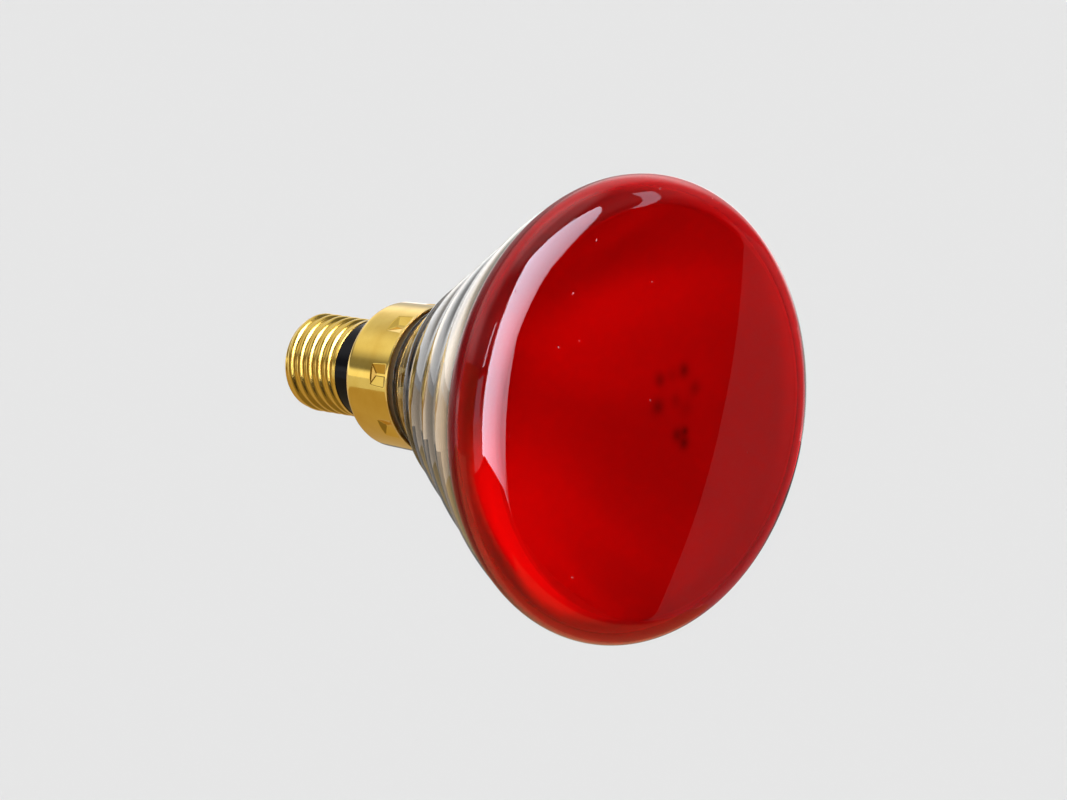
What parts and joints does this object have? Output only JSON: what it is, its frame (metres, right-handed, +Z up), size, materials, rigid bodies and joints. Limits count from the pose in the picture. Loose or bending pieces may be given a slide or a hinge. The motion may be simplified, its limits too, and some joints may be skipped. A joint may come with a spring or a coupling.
{
  "type": "infrared heat lamp bulb",
  "caption": "Infrared heat lamp bulb with a domed red glass lens sealed to a mirrored glass cone, a staked brass skirt, a black insulating ring and an Edison screw base.",
  "frame": {"origin": "on the lamp axis, at the middle of the plain land at the mouth of the screw shell", "axes": "+Y along the lamp axis towards the centre contact, so the lens faces -Y, the front; +Z is up and +X is to the right seen from the front"},
  "size_m": [0.1216, 0.1365, 0.1216],
  "materials": {
    "red_glass": "smooth pressed glass, stained deep red",
    "clear_glass": "clear pressed glass",
    "mirror_film": "vapour-deposited aluminium mirror",
    "tungsten": "drawn tungsten wire",
    "nickel_wire": "bright nickel wire",
    "ferrule_metal": "nickel-iron sealing alloy",
    "lead_wire": "plated copper wire",
    "brass": "polished drawn brass",
    "black_insulator": "glossy black glass insulator",
    "solder": "tin solder, slightly dull"
  },
  "bodies": {
    "root": {"lens": "red_glass", "reflector_bowl": "clear_glass", "mirror_coating": "mirror_film", "filament": "tungsten", "left_post": "nickel_wire", "right_post": "nickel_wire", "left_ferrule": "ferrule_metal", "right_ferrule": "ferrule_metal", "contact_lead": "lead_wire", "shell_lead": "lead_wire", "skirt": "brass", "insulating_ring": "black_insulator", "screw_shell": "brass", "base_insulator": "black_insulator", "center_contact": "brass", "contact_solder": "solder"}
  },
  "joints": []
}
